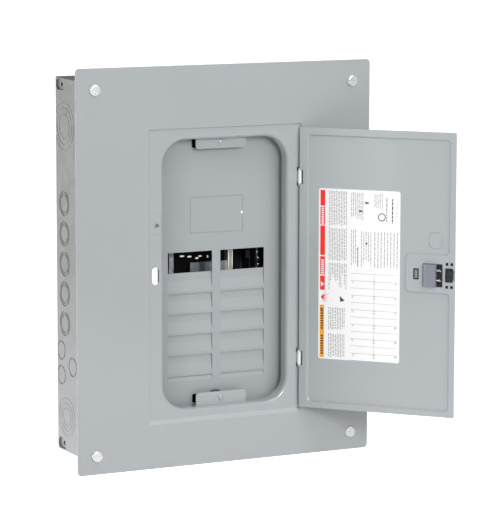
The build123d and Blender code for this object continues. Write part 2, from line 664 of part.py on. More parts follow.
def make_bus_base():
    half = 52.0
    left, right = INTERIOR_X - half, INTERIOR_X + half
    base = block(left, right, BASE_DEPTH, PAN_DEPTH, -152, 104, 3)
    for row in range(STAB_ROWS):
        bottom = STAB_TOP - STAB_HEIGHT - row * SPACE_PITCH
        base += block(-34, 24, BASE_DEPTH - 6, BASE_DEPTH, bottom - 8.4, bottom - 6.4)
    return base


def make_bus_bar(x, first_row, inward):
    """A bus bar with the stab straps of every second row; inward points to the stab column."""
    half = BUS_WIDTH / 2
    bar = block(x - half, x + half, BUS_DEPTH, BASE_DEPTH, -146, 112, 0.8)
    for row in range(first_row, STAB_ROWS, 2):
        top = STAB_TOP - row * SPACE_PITCH
        start, end = x + inward * (half - 0.5), INTERIOR_X - inward * 1.2
        reach = INTERIOR_X + inward * STAB_REACH
        x_low, x_high = sorted((start, reach))
        bar += block(x_low, x_high, BUS_DEPTH + 2, BUS_DEPTH + 4.5, top - STAB_HEIGHT, top)
        x_low, x_high = sorted((end, INTERIOR_X + inward * 1.2))
        bar += block(x_low, x_high, 46, BUS_DEPTH + 4.5, top - STAB_HEIGHT, top)
    return bar


def cable_lug(x, z_from, height, width, bore_depth, bore, back, screw_radius):
    """A lug with an upright wire hole and a threaded hole for its set screw from the front."""
    half, middle = width / 2, z_from + height / 2
    lug = block(x - half, x + half, bore_depth - 10, back, z_from, z_from + height, 1.5)
    lug -= vertical_bar(x, bore_depth, bore, z_from - 1, z_from + height + 1)
    return lug - drill(x, middle, screw_radius, bore_depth - 12, bore_depth)


def set_screw(x, z, radius, bore_depth, bore):
    """A set screw with a hexagon socket, drawn back clear of the wire hole."""
    front = bore_depth - 14
    body = drill(x, z, radius, front, bore_depth - bore - 0.3)
    return body - place(RegularPolygon(radius * 0.55, 6), front - 1, front + radius * 0.8, x, z)


def make_main_lug(x):
    return cable_lug(
        x, MAIN_LUG_BOTTOM, MAIN_LUG_HEIGHT, MAIN_LUG_WIDTH, MAIN_LUG_DEPTH, MAIN_LUG_BORE,
        BUS_DEPTH, 5.5,
    )


def make_main_lug_screws():
    z = MAIN_LUG_BOTTOM + MAIN_LUG_HEIGHT / 2
    return group(
        set_screw(x, z, 5.45, MAIN_LUG_DEPTH, MAIN_LUG_BORE) for x in (BUS_A_X, BUS_B_X)
    )


def make_breaker_rail(side):
    """Formed steel rail whose hooks hold the outer ends of the breakers."""
    x = INTERIOR_X + side * RAIL_OFFSET
    rail = block(x - 1.5, x, 62, PAN_DEPTH, -142, 18)
    rail += block(x - 4, x + 4, PAN_DEPTH - 1.5, PAN_DEPTH, -142, 18)
    for row in range(STAB_ROWS):
        middle = WINDOW_TOP - WINDOW_HEIGHT / 2 - row * SPACE_PITCH
        x_low, x_high = sorted((x - 0.75 - side * 0.75, x - 0.75 - side * 5.0))
        rail += block(x_low, x_high, 62, 63.5, middle - 5, middle + 5)
        rail -= block(x - 3, x + 3, 66, 72, middle - 6, middle + 6)
    return rail


def neutral_spots(side):
    """The wire screws of a neutral bar."""
    x = INTERIOR_X + side * NEUTRAL_OFFSET
    top = WINDOW_TOP - 6.0
    return [(x, top - index * BAR_SCREW_PITCH) for index in range(NEUTRAL_SCREWS)]


def make_neutral_bar(side):
    x = INTERIOR_X + side * NEUTRAL_OFFSET
    top = 60.0 if side < 0 else WINDOW_TOP + 4.0
    front = NEUTRAL_BAR_DEPTH
    half = BAR_HALF_WIDTH
    bar = block(x - half, x + half, front, front + BAR_THICKNESS, -170, top, 0.8)
    for spot_x, z in neutral_spots(side):
        bar -= drill(spot_x, z, 2.0, front - 1, front + 6)
        bar -= wire_hole(spot_x, front + 5.5, z)
    if side < 0:
        bar -= drill(*BOND_SCREW, 2.2, front - 1, front + BAR_THICKNESS + 1)
    return bar


def wire_hole(x, depth, z):
    """A cross hole for a branch conductor."""
    return Pos(x, depth - TOTAL_DEPTH, z) * Rot(0, 90, 0) * Cylinder(WIRE_RADIUS, 12)


def wire_screws(spots, depth):
    """Small slotted screws that clamp the conductors in a bar's cross holes."""
    return group(screw(x, z, depth - 0.1, 3.1, 1.8, 1.95, depth + 3.2) for x, z in spots)


def make_neutral_crossbar():
    reach = NEUTRAL_OFFSET + BAR_HALF_WIDTH
    depth = NEUTRAL_BAR_DEPTH + BAR_THICKNESS
    return block(INTERIOR_X - reach, INTERIOR_X + reach, depth, depth + 2.5, -169, -157, 1.0)


def make_neutral_insulators():
    blocks = []
    half = BAR_HALF_WIDTH + 0.1
    depth = NEUTRAL_BAR_DEPTH + BAR_THICKNESS
    for side in (-1, 1):
        x = INTERIOR_X + side * NEUTRAL_OFFSET
        blocks.append(block(x - half, x + half, depth, PAN_DEPTH, -8, 12, 1.5))
        blocks.append(block(x - half, x + half, depth + 2.5, PAN_DEPTH, -170, -156, 1.5))
    return group(blocks)


def make_neutral_lug():
    return cable_lug(
        INTERIOR_X - NEUTRAL_OFFSET, NEUTRAL_LUG_BOTTOM, NEUTRAL_LUG_HEIGHT, NEUTRAL_LUG_WIDTH,
        NEUTRAL_LUG_DEPTH, NEUTRAL_LUG_BORE, NEUTRAL_BAR_DEPTH, 5.0,
    )


def make_neutral_lug_screw():
    z = NEUTRAL_LUG_BOTTOM + NEUTRAL_LUG_HEIGHT / 2
    return set_screw(INTERIOR_X - NEUTRAL_OFFSET, z, 4.95, NEUTRAL_LUG_DEPTH, NEUTRAL_LUG_BORE)


def make_bonding_screw():
    x, z = BOND_SCREW
    return screw(x, z, NEUTRAL_BAR_DEPTH, 4.6, 2.4, 1.98, TOTAL_DEPTH)


def ground_spots():
    return [(GROUND_BAR_X, -30.0 - index * BAR_SCREW_PITCH) for index in range(GROUND_SCREWS)]


def make_ground_bar():
    bottom = ground_spots()[-1][1] - 7
    half = BAR_HALF_WIDTH
    front = BACK_DEPTH - BAR_THICKNESS
    bar = block(GROUND_BAR_X - half, GROUND_BAR_X + half, front, BACK_DEPTH, bottom, -23, 0.8)
    for x, z in ground_spots():
        bar -= drill(x, z, 2.0, front - 2, front + 6)
        bar -= wire_hole(x, front + 5.0, z)
    return bar


NODES = {
    "enclosure_box": make_enclosure,
    "cover_trim": make_trim,
    "cover_screws": make_cover_screws,
    "strike_clip": make_strike_clip,
    "deadfront": make_deadfront,
    "deadfront_screws": make_deadfront_screws,
    "deadfront_nuts": make_deadfront_nuts,
    "hinge_leaf_upper": lambda: make_hinge_leaf(1),
    "hinge_leaf_lower": lambda: make_hinge_leaf(-1),
    "hinge_pin_upper": lambda: make_hinge_pin(1),
    "hinge_pin_lower": lambda: make_hinge_pin(-1),
    "door_panel": make_door,
    "door_label": make_label,
    "latch_housing": make_latch_housing,
    "latch_slider": make_latch_slider,
    "latch_springs": make_latch_springs,
    "interior_pan": make_interior_pan,
    "pan_screws": make_pan_screws,
    "bus_base": make_bus_base,
    "bus_bar_a": lambda: make_bus_bar(BUS_A_X, 1, 1),
    "bus_bar_b": lambda: make_bus_bar(BUS_B_X, 0, -1),
    "main_lug_a": lambda: make_main_lug(BUS_A_X),
    "main_lug_b": lambda: make_main_lug(BUS_B_X),
    "main_lug_screws": make_main_lug_screws,
    "breaker_rail_left": lambda: make_breaker_rail(-1),
    "breaker_rail_right": lambda: make_breaker_rail(1),
    "neutral_bar_left": lambda: make_neutral_bar(-1),
    "neutral_bar_right": lambda: make_neutral_bar(1),
    "neutral_screws_left": lambda: wire_screws(neutral_spots(-1), NEUTRAL_BAR_DEPTH),
    "neutral_screws_right": lambda: wire_screws(neutral_spots(1), NEUTRAL_BAR_DEPTH),
    "neutral_crossbar": make_neutral_crossbar,
    "neutral_insulators": make_neutral_insulators,
    "neutral_lug": make_neutral_lug,
    "neutral_lug_screw": make_neutral_lug_screw,
    "bonding_screw": make_bonding_screw,
    "ground_bar": make_ground_bar,
    "ground_screws": lambda: wire_screws(ground_spots(), BACK_DEPTH - BAR_THICKNESS),
}

os.makedirs("parts", exist_ok=True)
for name, make in NODES.items():
    export_step(make(), f"parts/{name}.step")
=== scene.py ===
import json
import math
import random

import bpy
from mathutils import Matrix, Vector


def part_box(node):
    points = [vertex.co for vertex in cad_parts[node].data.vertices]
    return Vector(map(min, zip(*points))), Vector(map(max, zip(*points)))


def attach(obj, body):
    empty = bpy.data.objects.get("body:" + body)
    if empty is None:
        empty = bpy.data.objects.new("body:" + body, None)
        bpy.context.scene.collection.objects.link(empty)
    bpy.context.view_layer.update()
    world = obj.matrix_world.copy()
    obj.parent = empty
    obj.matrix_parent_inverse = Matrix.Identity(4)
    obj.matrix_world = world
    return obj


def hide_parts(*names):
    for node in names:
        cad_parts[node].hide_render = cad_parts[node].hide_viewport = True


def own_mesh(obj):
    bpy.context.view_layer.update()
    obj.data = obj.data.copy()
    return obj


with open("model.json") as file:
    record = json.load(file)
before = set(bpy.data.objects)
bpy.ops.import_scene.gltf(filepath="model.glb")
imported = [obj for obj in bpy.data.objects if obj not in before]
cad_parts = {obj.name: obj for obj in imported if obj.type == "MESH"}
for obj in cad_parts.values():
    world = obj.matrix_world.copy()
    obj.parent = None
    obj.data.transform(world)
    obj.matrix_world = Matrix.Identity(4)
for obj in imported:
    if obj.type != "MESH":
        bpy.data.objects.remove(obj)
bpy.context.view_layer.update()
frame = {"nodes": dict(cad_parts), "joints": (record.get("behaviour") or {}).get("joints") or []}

# Lengths are in mm where they are multiplied by MM, and in metres elsewhere. Depths are measured
# from the cover's front plane, and s is the distance from the hinge axis on the closed door.
MM = 0.001
JOINTS = {joint["name"]: joint for joint in frame["joints"]}
COVER_FRONT = round(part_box("cover_trim")[0].y / MM, 2)
HINGE_X, HINGE_Y = [place / MM for place in JOINTS["door_hinge"]["pos_m"][:2]]
HINGE = Vector((HINGE_X * MM, HINGE_Y * MM, 0.0))
DOOR_ANGLE = math.radians(-JOINTS["door_hinge"]["range_deg"][0])
OPEN = Matrix.Translation(HINGE) @ Matrix.Rotation(DOOR_ANGLE, 4, "Z") @ Matrix.Translation(-HINGE)
DOOR_INWARD = Vector((-math.sin(DOOR_ANGLE), math.cos(DOOR_ANGLE), 0.0))
DOOR_SHEET = 1.0
DOOR_SHEET_FACE = DOOR_INWARD.dot(HINGE) + (COVER_FRONT - HINGE_Y + DOOR_SHEET) * MM


# ---------------------------------------------------------------- materials

GRAIN_SCALE = 900.0
GRAIN_HEIGHT = 0.0002
NOISE_DETAIL = 4.0
RAMP_FROM, RAMP_TO = 0.3, 0.7
ROUGH_LOW, ROUGH_HIGH = 0.88, 1.12


def tinted(nodes, links, place, noise, colour, spread, mottle):
    """A colour that varies a little with the noise, or from cell to cell where there is a mottle."""
    ramp = nodes.new("ShaderNodeValToRGB")
    low, high = ramp.color_ramp.elements
    low.position, high.position = RAMP_FROM, RAMP_TO
    low.color = (*[c * (1 - spread) for c in colour], 1)
    high.color = (*[min(1.0, c * (1 + spread)) for c in colour], 1)
    source = noise.outputs["Fac"]
    if mottle:
        cells = nodes.new("ShaderNodeTexVoronoi")
        cells.inputs["Scale"].default_value = mottle
        links.new(place, cells.inputs["Vector"])
        source = cells.outputs["Color"]
    links.new(source, ramp.inputs["Fac"])
    return ramp.outputs["Color"]


def drifted(nodes, links, place, tint, drift):
    """The colour with its drift, and the share of the finish's own colour in it."""
    direction, start, stop, first_colour = drift
    along = nodes.new("ShaderNodeVectorMath")
    along.operation = "DOT_PRODUCT"
    along.inputs[1].default_value = direction
    links.new(place, along.inputs[0])
    share = nodes.new("ShaderNodeMapRange")
    share.inputs["From Min"].default_value = start
    share.inputs["From Max"].default_value = stop
    links.new(along.outputs["Value"], share.inputs["Value"])
    blend = nodes.new("ShaderNodeMix")
    blend.data_type = "RGBA"
    blend.inputs["A"].default_value = (*first_colour, 1)
    links.new(share.outputs["Result"], blend.inputs["Factor"])
    links.new(tint, blend.inputs["B"])
    return blend.outputs["Result"], share.outputs["Result"]


def relief(nodes, links, place, edge, bump):
    """The surface's normal with soft edges and a fine grain, or None where it has neither."""
    normal = None
    if edge:
        soft = nodes.new("ShaderNodeBevel")
        soft.inputs["Radius"].default_value = edge * MM
        normal = soft.outputs["Normal"]
    if bump:
        grain = nodes.new("ShaderNodeTexNoise")
        grain.inputs["Scale"].default_value = GRAIN_SCALE
        links.new(place, grain.inputs["Vector"])
        grained = nodes.new("ShaderNodeBump")
        grained.inputs["Strength"].default_value = bump
        grained.inputs["Distance"].default_value = GRAIN_HEIGHT
        links.new(grain.outputs["Fac"], grained.inputs["Height"])
        if normal:
            links.new(normal, grained.inputs["Normal"])
        normal = grained.outputs["Normal"]
    return normal


def finish(name, colour, rough, metal=0.0, spread=0.06, scale=60.0, bump=0.0, edge=0.0,
           coat=0.0, coat_rough=0.15, mottle=None, glow=0.0, drift=None, specular=0.5):
    """A procedural finish whose colour and roughness vary with noise, with a fine bump and soft edges.

    mottle takes the colour from cells instead of the noise. drift = (direction, start, stop, colour)
    has the given colour before start along a direction and the finish's own after stop. glow is the
    emission strength; with a drift it grows from none at start to its full value at stop.
    """
    material = bpy.data.materials.new(name)
    material.use_nodes = True
    nodes, links = material.node_tree.nodes, material.node_tree.links
    nodes.clear()
    out = nodes.new("ShaderNodeOutputMaterial")
    shader = nodes.new("ShaderNodeBsdfPrincipled")
    links.new(shader.outputs["BSDF"], out.inputs["Surface"])
    shader.inputs["Metallic"].default_value = metal
    shader.inputs["Specular IOR Level"].default_value = specular
    shader.inputs["Coat Weight"].default_value = coat
    shader.inputs["Coat Roughness"].default_value = coat_rough
    shader.inputs["Emission Color"].default_value = (1, 1, 1, 1)
    shader.inputs["Emission Strength"].default_value = glow

    place = nodes.new("ShaderNodeTexCoord").outputs["Object"]
    noise = nodes.new("ShaderNodeTexNoise")
    noise.inputs["Scale"].default_value = scale
    noise.inputs["Detail"].default_value = NOISE_DETAIL
    links.new(place, noise.inputs["Vector"])
    tint = tinted(nodes, links, place, noise, colour, spread, mottle)
    if drift:
        tint, share = drifted(nodes, links, place, tint, drift)
        if glow:
            glowing = nodes.new("ShaderNodeMath")
            glowing.operation = "MULTIPLY"
            glowing.inputs[1].default_value = glow
            links.new(share, glowing.inputs[0])
            links.new(glowing.outputs["Value"], shader.inputs["Emission Strength"])
    links.new(tint, shader.inputs["Base Color"])

    gloss = nodes.new("ShaderNodeMapRange")
    gloss.inputs["To Min"].default_value = rough * ROUGH_LOW
    gloss.inputs["To Max"].default_value = min(1.0, rough * ROUGH_HIGH)
    links.new(noise.outputs["Fac"], gloss.inputs["Value"])
    links.new(gloss.outputs["Result"], shader.inputs["Roughness"])

    normal = relief(nodes, links, place, edge, bump)
    if normal:
        links.new(normal, shader.inputs["Normal"])
    return material


PAINT = finish("grey_enamel", (0.405, 0.43, 0.447), 0.3, spread=0.012, scale=14, bump=0.05,
               edge=0.5, coat=1.0, coat_rough=0.07)
# Painted shade: the deadfront's enamel is darker towards the opening's left rim, where the rim shades it.
RIM_SHADED_PAINT = finish("enamel_painted_rim_shade", (0.378, 0.402, 0.418), 0.3, spread=0.012, scale=14, bump=0.05,
                     edge=0.5, coat=0.1, coat_rough=0.1,
                     drift=((1, 0, 0), -0.084, -0.035, (0.285, 0.303, 0.315)))
# Painted light: the box's steel is lighter and bluer towards the bottom, as if lit from the floor.
BOX_PAINTED_FLOOR_LIGHT = finish("box_steel_sheet", (0.285, 0.295, 0.285), 0.42, metal=0.55, spread=0.05, mottle=70,
             edge=0.4, drift=((0, 0, 1), -0.26, 0.0, (0.41, 0.425, 0.445)))
ZINC = finish("bright_zinc", (0.86, 0.87, 0.88), 0.2, metal=1.0, spread=0.05, scale=300, edge=0.15)
# Painted shade: the galvanised pan is given a near-black colour for the shade inside the box.
PAN_PAINTED_SHADE = finish("pan_steel_painted_shade", (0.02, 0.02, 0.024), 0.7, spread=0.08, mottle=90, edge=0.3,
                   specular=0.05)
# Painted shade: the tinned rails and neutral bars are made dark for the shade inside the box.
TIN_PAINTED_SHADE = finish("tin_painted_shade", (0.05, 0.055, 0.07), 0.4, metal=0.5, spread=0.2, mottle=220, edge=0.3)
BAR_TIN = finish("bar_tin", (0.42, 0.45, 0.50), 0.4, metal=0.3, spread=0.25, mottle=260, edge=0.3)
WARM_TIN = finish("bar_tin_warm", (0.66, 0.62, 0.54), 0.4, metal=0.3, spread=0.1, mottle=260, edge=0.3,
                  drift=((1, 0, 0), 0.028, 0.031, (0.30, 0.33, 0.37)))
TIN = finish("tin_plate", (0.78, 0.79, 0.80), 0.24, metal=1.0, spread=0.05, scale=200, edge=0.3)
BASE_PLASTIC = finish("black_moulding", (0.004, 0.004, 0.005), 0.6, spread=0.15, bump=0.08, edge=0.3,
                      specular=0.08)
INSULATOR = finish("dark_insulator", (0.01, 0.01, 0.012), 0.6, spread=0.12, bump=0.08, edge=0.3,
                   specular=0.1)
GREEN = finish("green_zinc", (0.05, 0.30, 0.12), 0.3, metal=0.7, spread=0.08, scale=300)
FILM = finish("white_film", (0.92, 0.92, 0.92), 0.35, spread=0.01, scale=30, coat=0.2)
# Painted shade: the latch moulding is near black behind the door sheet's face, where it is seen in shade
# through the holes.
LATCH_PAINTED_HOLE_SHADE = finish("latch_moulding", (0.225, 0.235, 0.27), 0.34, spread=0.04, scale=200, bump=0.06, edge=0.4,
               drift=(DOOR_INWARD, DOOR_SHEET_FACE, DOOR_SHEET_FACE + 0.2 * MM, (0.02, 0.02, 0.025)))
LATCH_DARK = finish("latch_dark", (0.02, 0.024, 0.026), 0.3, spread=0.2, scale=200, bump=0.1)
WHITE_ZINC = finish("pale_zinc", (0.86, 0.87, 0.88), 0.25, metal=0.6, spread=0.02, scale=300, edge=0.15)
HINGE_ZINC = finish("hinge_zinc", (0.96, 0.97, 0.98), 0.3, metal=0.15, spread=0.01, scale=300, edge=0.15)
SCREW_DULL = finish("dull_zinc", (0.55, 0.57, 0.59), 0.28, metal=0.6, spread=0.08, scale=300, edge=0.2)
# Painted glints: a glowing pale tin for the bright points inside the box.
GLINT_GLOW_TIN = finish("tin_painted_glint", (0.95, 0.90, 0.80), 0.25, metal=0.3, spread=0.02, scale=300, glow=0.5)
# Painted highlight: the strike clip glows so that the latch slot shows white.
CATCH_PAINTED_GLOW = finish("zinc_painted_glow", (0.97, 0.97, 0.97), 0.35, metal=0.1, spread=0.01, scale=300, edge=0.15,
               glow=0.6)
SPRING = finish("spring_wire", (0.9, 0.9, 0.9), 0.16, metal=1.0, spread=0.04, scale=400)
# Painted glint: the deadfront's dot glows.
RIVET_PAINTED_GLINT = finish("rivet_painted_glint", (0.95, 0.95, 0.95), 0.3, spread=0.01, scale=300, glow=0.25)
FLOOR = finish("pale_floor", (0.93, 0.93, 0.93), 0.8, spread=0.004, scale=3, glow=1.05,
               drift=((0, 1, 0), 0.3, 0.9, (0.9, 0.9, 0.9)))
INKS = {
    "red": finish("ink_red", (0.95, 0.02, 0.015), 0.4, spread=0.03),
    "orange": finish("ink_orange", (0.93, 0.38, 0.02), 0.4, spread=0.03),
    "grey": finish("ink_grey", (0.24, 0.24, 0.25), 0.45, spread=0.05),
    "pale": finish("ink_pale", (0.46, 0.46, 0.46), 0.45, spread=0.04),
    "dark": finish("ink_dark", (0.045, 0.045, 0.05), 0.4, spread=0.1),
    "white": finish("ink_white", (0.93, 0.93, 0.93), 0.4, spread=0.01),
}

FINISHES = {
    "enclosure_box": BOX_PAINTED_FLOOR_LIGHT,
    "cover_trim": PAINT, "deadfront": RIM_SHADED_PAINT, "door_panel": PAINT,
    "cover_screws": WHITE_ZINC, "deadfront_screws": SCREW_DULL, "deadfront_nuts": ZINC, "pan_screws": ZINC,
    "strike_clip": CATCH_PAINTED_GLOW, "hinge_leaf_upper": HINGE_ZINC, "hinge_leaf_lower": HINGE_ZINC,
    "hinge_pin_upper": ZINC, "hinge_pin_lower": ZINC,
    "neutral_screws_left": ZINC, "neutral_screws_right": ZINC, "ground_screws": ZINC,
    "main_lug_screws": ZINC, "neutral_lug_screw": ZINC,
    "door_label": FILM,
    "latch_housing": LATCH_PAINTED_HOLE_SHADE, "latch_slider": LATCH_DARK, "latch_springs": SPRING,
    "interior_pan": PAN_PAINTED_SHADE, "breaker_rail_left": TIN_PAINTED_SHADE, "breaker_rail_right": TIN_PAINTED_SHADE,
    "bus_base": BASE_PLASTIC, "neutral_insulators": INSULATOR,
    "bus_bar_a": BAR_TIN, "bus_bar_b": WARM_TIN, "main_lug_a": TIN, "main_lug_b": TIN,
    "neutral_bar_left": TIN_PAINTED_SHADE, "neutral_bar_right": TIN_PAINTED_SHADE, "neutral_crossbar": TIN_PAINTED_SHADE,
    "neutral_lug": TIN, "bonding_screw": GREEN, "ground_bar": TIN,
}
for name, node in frame["nodes"].items():
    node.data.materials.clear()
    node.data.materials.append(FINISHES[name])


# ---------------------------------------------------------------- shape helpers

def make_mesh(name, vertices, faces, material, body, smooth=False):
    """A new piece from points in metres in the row frame."""
    mesh = bpy.data.meshes.new(name)
    mesh.from_pydata([tuple(v) for v in vertices], [], faces)
    mesh.update()
    piece = bpy.data.objects.new(name, mesh)
    bpy.context.scene.collection.objects.link(piece)
    mesh.materials.append(material)
    if smooth:
        mesh.polygons.foreach_set("use_smooth", [True] * len(mesh.polygons))
    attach(piece, body)
    return piece


def on_door(s, depth, z):
    """A point of the closed door, in mm, moved to where the open door has it, in metres."""
    return OPEN @ Vector(((HINGE_X - s) * MM, (depth + COVER_FRONT) * MM, z * MM))


def door_prisms(name, outlines, depth_from, depth_to, material):
    """Flat plates on the open door, each given by its outline of (s, z) points."""
    vertices, faces = [], []
    for outline in outlines:
        count, start = len(outline), len(vertices)
        for depth in (depth_from, depth_to):
            vertices += [on_door(s, depth, z) for s, z in outline]
        near, far = range(start, start + count), range(start + count, start + 2 * count)
        faces += [tuple(near), tuple(reversed(far))]
        faces += [
            (near[i], far[i], far[(i + 1) % count], near[(i + 1) % count]) for i in range(count)
        ]
    return make_mesh(name, vertices, faces, material, "door")


def oblong(s_from, s_to, z_from, z_to):
    return [(s_from, z_from), (s_to, z_from), (s_to, z_to), (s_from, z_to)]


def disc(s, z, radius):
    corners = 20
    angles = [2 * math.pi * i / corners for i in range(corners)]
    return [(s + radius * math.cos(angle), z + radius * math.sin(angle)) for angle in angles]


# ---------------------------------------------------------------- label artwork

# The print is drawn in s and z, and all of it sits PRINT_DROP lower than it is drawn.
LABEL_FACE = -0.4
INK_SUNK = 0.01
INK_RAISED = {"red": 0.02, "orange": 0.02, "grey": 0.035, "pale": 0.035, "dark": 0.035, "white": 0.035}
PRINT_DROP = 0.7
WORD_SHORTEST, WORD_MORE, WORD_GAP = 1.6, 4.2, 0.9
RAGGED_START = 1.5
ink = {colour: [] for colour in INKS}
chance = random.Random(7)


def mock_lines(colour, s_from, s_to, z_from, z_to, pitch, thick, fill):
    """Rows of short bars, without letters, that run down the label like print turned on its side."""
    s = s_from
    while s < s_to:
        z = z_to - chance.random() * RAGGED_START
        end = z_from + (z_to - z_from) * (1 - fill) * chance.random()
        while z > end:
            word = WORD_SHORTEST + WORD_MORE * chance.random()
            ink[colour].append(oblong(s, s + thick, max(end, z - word), z))
            z -= word + WORD_GAP
        s += pitch


def band(colour, s_from, s_to, z_from, z_to):
    ink[colour].append(oblong(s_from, s_to, z_from, z_to))


def run_of_bars(colour, s_from, s_to, start, pitch, thick, steps):
    """Equal bars above one another, one at each of the given steps."""
    for step in steps:
        bottom = start + step * pitch
        band(colour, s_from, s_to, bottom, bottom + thick)


# The strip of coloured bands along the label's edge.
RED_FROM, RED_TO = 27.0, 33.2
for bottom, top in ((68.8, 88.0), (8.0, 44.2), (45.6, 67.4), (-16.0, 6.6), (-35.0, -17.4)):
    band("red", RED_FROM, RED_TO, bottom, top)
for start, count in ((46.6, 8), (-14.6, 7)):
    run_of_bars("white", 28.4, 31.8, start, 2.6, 1.5, range(count))
ink["white"].append([(28.2, -24.6), (28.2, -30.6), (32.2, -27.6)])

# Five rays below the red bands.
BURST_Z, BURST_ROOT, BURST_MIDDLE = -43.5, 29.0, 31.2
BURST_REACH, BURST_LONGER, BURST_SQUEEZE = 10.0, 2.5, 0.75
RAYS, RAY_FIRST, RAY_TURN, RAY_HALF_WIDTH = 5, -58, 27, 0.8
for ray in range(RAYS):
    angle = math.radians(RAY_FIRST + ray * RAY_TURN)
    reach = BURST_REACH + BURST_LONGER * (ray % 2)
    tip = (BURST_MIDDLE + reach * math.cos(angle) * BURST_SQUEEZE, BURST_Z + reach * math.sin(angle))
    side = (RAY_HALF_WIDTH * math.sin(angle), -RAY_HALF_WIDTH * math.cos(angle))
    ink["red"].append([
        (BURST_ROOT + side[0], BURST_Z + side[1]), (BURST_ROOT - side[0], BURST_Z - side[1]), tip,
    ])

# The orange band, with two runs of dark bars.
band("orange", 26.9, 32.4, -118.5, -53.4)
run_of_bars("dark", 28.1, 31.2, -114.5, 3.1, 2.0, (*range(8), *range(10, 18)))
ink["dark"].append([(27.8, -56.6), (27.8, -60.4), (31.5, -58.5)])
ink["dark"].append([(52.6, -41.2), (59.0, -46.8), (53.4, -48.6)])

PRINT_BLOCKS = [
    # colour, s from and to, z from and to, pitch and thickness of the lines, least share of z filled
    ("grey", 38.3, 61.0, 44.5, 88.0, 2.2, 0.75, 0.95),
    ("grey", 38.3, 61.0, 1.5, 42.5, 2.2, 0.75, 0.95),
    ("grey", 38.3, 61.0, -34.5, -0.5, 2.2, 0.75, 0.3),
    ("grey", 38.3, 60.0, -84.0, -55.0, 2.2, 0.75, 0.9),
    ("grey", 38.3, 60.0, -118.0, -88.0, 2.2, 0.75, 0.9),
    ("grey", 67.0, 83.0, 52.0, 87.0, 2.4, 0.7, 0.7),
    ("grey", 97.0, 108.5, 68.0, 87.0, 2.4, 0.7, 0.9),
    ("dark", 112.0, 114.5, 52.0, 83.0, 3.0, 0.9, 0.95),
    ("dark", 119.0, 121.0, 51.0, 81.0, 3.0, 1.5, 0.98),
    ("pale", 125.0, 127.0, 55.0, 82.0, 3.0, 0.7, 0.7),
    ("grey", 67.0, 74.0, -4.5, 42.0, 2.6, 0.7, 0.8),
    ("dark", 75.0, 76.5, -4.0, 20.0, 3.0, 1.1, 0.98),
    ("grey", 80.0, 93.0, -4.5, 40.0, 3.0, 0.7, 0.7),
    ("grey", 97.0, 127.0, -4.5, 40.0, 4.1, 0.9, 0.95),
]
for block in PRINT_BLOCKS:
    mock_lines(*block)

for s, z in ((78.0, 64.7), (86.0, 75.0)):
    ink["dark"].append([(s - 2.0, z + 1.0), (s + 3.5, z + 0.4), (s + 3.5, z - 1.2), (s - 0.5, z - 1.8)])
ink["dark"].append(disc(86.6, 25.0, 1.4))

RING_S, RING_Z, RING_OUTER, RING_INNER, RING_STEPS = 106.2, 58.0, 5.0, 3.9, 28
for i in range(RING_STEPS):
    start, end = [2 * math.pi * (i + more) / RING_STEPS for more in (0, 1)]
    ink["dark"].append([
        (RING_S + radius * math.cos(angle), RING_Z + radius * math.sin(angle))
        for radius, angle in (
            (RING_OUTER, start), (RING_OUTER, end), (RING_INNER, end), (RING_INNER, start),
        )
    ])

DIGITS = {
    "0": "abcdef", "1": "bc", "2": "abged", "3": "abgcd", "4": "fgbc",
    "5": "afgcd", "6": "afgedc", "7": "abc", "8": "abcdefg", "9": "gfabcd",
}
DIGIT_HEIGHT, DIGIT_WIDTH, DIGIT_GAP, DIGIT_PEN = 2.4, 1.2, 0.9, 0.32


def numeral(text, s, z):
    """Small seven-stroke numerals for the breaker directory."""
    wide, tall, half_pen = DIGIT_WIDTH, DIGIT_HEIGHT, DIGIT_PEN / 2
    strokes = {
        "a": (0, wide, tall, tall), "b": (wide, wide, tall / 2, tall), "c": (wide, wide, 0, tall / 2),
        "d": (0, wide, 0, 0), "e": (0, 0, 0, tall / 2), "f": (0, 0, tall / 2, tall),
        "g": (0, wide, tall / 2, tall / 2),
    }
    for character in text:
        for stroke in DIGITS[character]:
            s0, s1, z0, z1 = strokes[stroke]
            ink["dark"].append(oblong(
                s + s0 - half_pen, s + s1 + half_pen, z + z0 - half_pen, z + z1 + half_pen
            ))
        s += wide + DIGIT_GAP


# The breaker directory: ruled lines, the numbers 1 to 12, and dashes as entries.
TABLE_LEFT, TABLE_RIGHT, TABLE_MIDDLE = 66.8, 127.2, 97.1
ROWS, ROW_PITCH = 6, 17.9
RULE_TOP, RULE = -12.2, 0.5
for line in range(2 * ROWS + 1):
    z = RULE_TOP - line * ROW_PITCH / 2
    band("pale", TABLE_LEFT, TABLE_RIGHT, z - RULE, z)

FIRST_ROW, NUMERAL_DROP = -23.5, 1.0
LEFT_INDENT, RIGHT_INDENT, TWO_DIGITS_MORE = 1.6, 3.4, 1.2
ENTRY_DASHES, ENTRY_PITCH, ENTRY, ENTRY_CHANCE = 7, 3.1, 1.6, 0.75
for row in range(ROWS):
    z = FIRST_ROW - row * ROW_PITCH
    numeral(str(2 * row + 1), TABLE_LEFT + LEFT_INDENT, z - NUMERAL_DROP)
    even = str(2 * row + 2)
    more = TWO_DIGITS_MORE if len(even) > 1 else 0
    numeral(even, TABLE_RIGHT - RIGHT_INDENT - more, z - NUMERAL_DROP)
    for left in (TABLE_LEFT + 7.0, TABLE_MIDDLE + 3.5):
        for dash in range(ENTRY_DASHES):
            if chance.random() < ENTRY_CHANCE:
                start = left + dash * ENTRY_PITCH
                band("pale", start, start + ENTRY, z + 1.9, z + 2.3)

